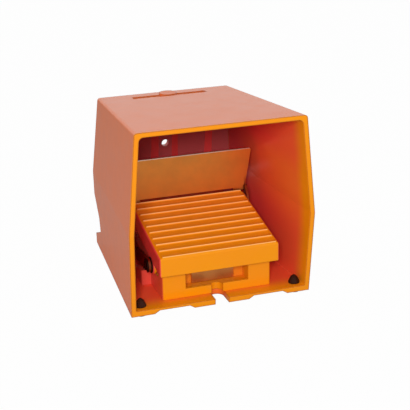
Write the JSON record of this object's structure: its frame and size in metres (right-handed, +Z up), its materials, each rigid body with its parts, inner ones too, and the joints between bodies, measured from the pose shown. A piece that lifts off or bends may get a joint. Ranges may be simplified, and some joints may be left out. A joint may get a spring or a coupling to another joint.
{
  "type": "industrial foot switch",
  "caption": "Foot switch with a ribbed tilting pedal inside a cast protective hood; a bent toe flap behind the pedal swings on the same pin.",
  "frame": {"origin": "on the ground under the middle of the hood's footprint", "axes": "+Z up, -Y towards the opening, where the foot enters, +X to the right seen from behind the foot"},
  "size_m": [0.16, 0.184, 0.1615],
  "materials": {
    "orange_paint": "gloss orange enamel on an aluminium casting",
    "orange_paint_pedal": "gloss orange enamel on an aluminium casting",
    "orange_paint_base": "gloss orange enamel on an aluminium casting",
    "chromated_sheet": "yellow chromated zinc plate on bent steel sheet",
    "zinc_plate": "zinc plated",
    "steel": "zinc plated",
    "dark_steel": "phosphated and oiled",
    "spring_steel": "oiled wire",
    "rubber": "matte black",
    "bronze": "sintered bronze",
    "brass": "machined",
    "black_plastic": "moulded",
    "grey_plastic": "moulded",
    "red_plastic": "moulded"
  },
  "bodies": {
    "frame": {"hood": "orange_paint", "foot_front_left": "rubber", "foot_front_right": "rubber", "foot_rear_left": "rubber", "foot_rear_right": "rubber", "switch_base": "orange_paint_base", "base_screws": "steel", "base_cover": "zinc_plate", "cover_gasket": "rubber", "cover_screws": "steel", "hinge_pin": "dark_steel", "pin_clips": "dark_steel", "pin_spacers": "dark_steel", "pin_keeper": "chromated_sheet", "pin_keeper_screws": "steel", "rest_buffers": "rubber", "end_buffers": "rubber", "guide_bush": "bronze", "pusher_seal": "rubber", "return_spring": "spring_steel", "trigger_springs": "spring_steel", "block_carrier": "zinc_plate", "terminal_screws": "brass", "earth_screw": "brass", "blanking_plug": "black_plastic", "plug_washer": "rubber", "contact_block_left": "grey_plastic", "contact_block_right": "grey_plastic"},
    "pedal": {"pedal": "orange_paint_pedal", "pedal_bushes": "bronze", "striker_screw": "steel", "striker_nut": "steel"},
    "toe_flap": {"toe_flap": "chromated_sheet", "trigger_spring_ends": "spring_steel"},
    "pusher": {"pusher": "steel", "pusher_clip": "spring_steel", "crossbar": "black_plastic"},
    "plunger_left": {"contact_plunger_left": "red_plastic"},
    "plunger_right": {"contact_plunger_right": "red_plastic"}
  },
  "joints": [
    {"name": "pedal_tilt", "type": "hinge", "parent": "frame", "child": "pedal", "pos_m": [0, -0.052, 0.0335], "axis": [-1, 0, 0], "range_deg": [0, 8], "stiffness_Nm_per_rad": 6, "springref_deg": -5.73},
    {"name": "flap_swing", "type": "hinge", "parent": "frame", "child": "toe_flap", "pos_m": [0, -0.052, 0.0335], "axis": [-1, 0, 0], "range_deg": [0, 10], "stiffness_Nm_per_rad": 0.6, "springref_deg": -28.65},
    {"name": "pusher_slide", "type": "slide", "parent": "frame", "child": "pusher", "axis": [0, 0, -1], "range_m": [0, 0.0054], "deforming": ["return_spring"]},
    {"name": "plunger_left_slide", "type": "slide", "parent": "frame", "child": "plunger_left", "axis": [0, 0, -1], "range_m": [0, 0.0054]},
    {"name": "plunger_right_slide", "type": "slide", "parent": "frame", "child": "plunger_right", "axis": [0, 0, -1], "range_m": [0, 0.0054]}
  ],
  "couplings": [
    {"joint": "pusher_slide", "follows": "pedal_tilt", "m_per_rad": 0.0378},
    {"joint": "plunger_left_slide", "follows": "pedal_tilt", "m_per_rad": 0.0378},
    {"joint": "plunger_right_slide", "follows": "pedal_tilt", "m_per_rad": 0.0378}
  ]
}
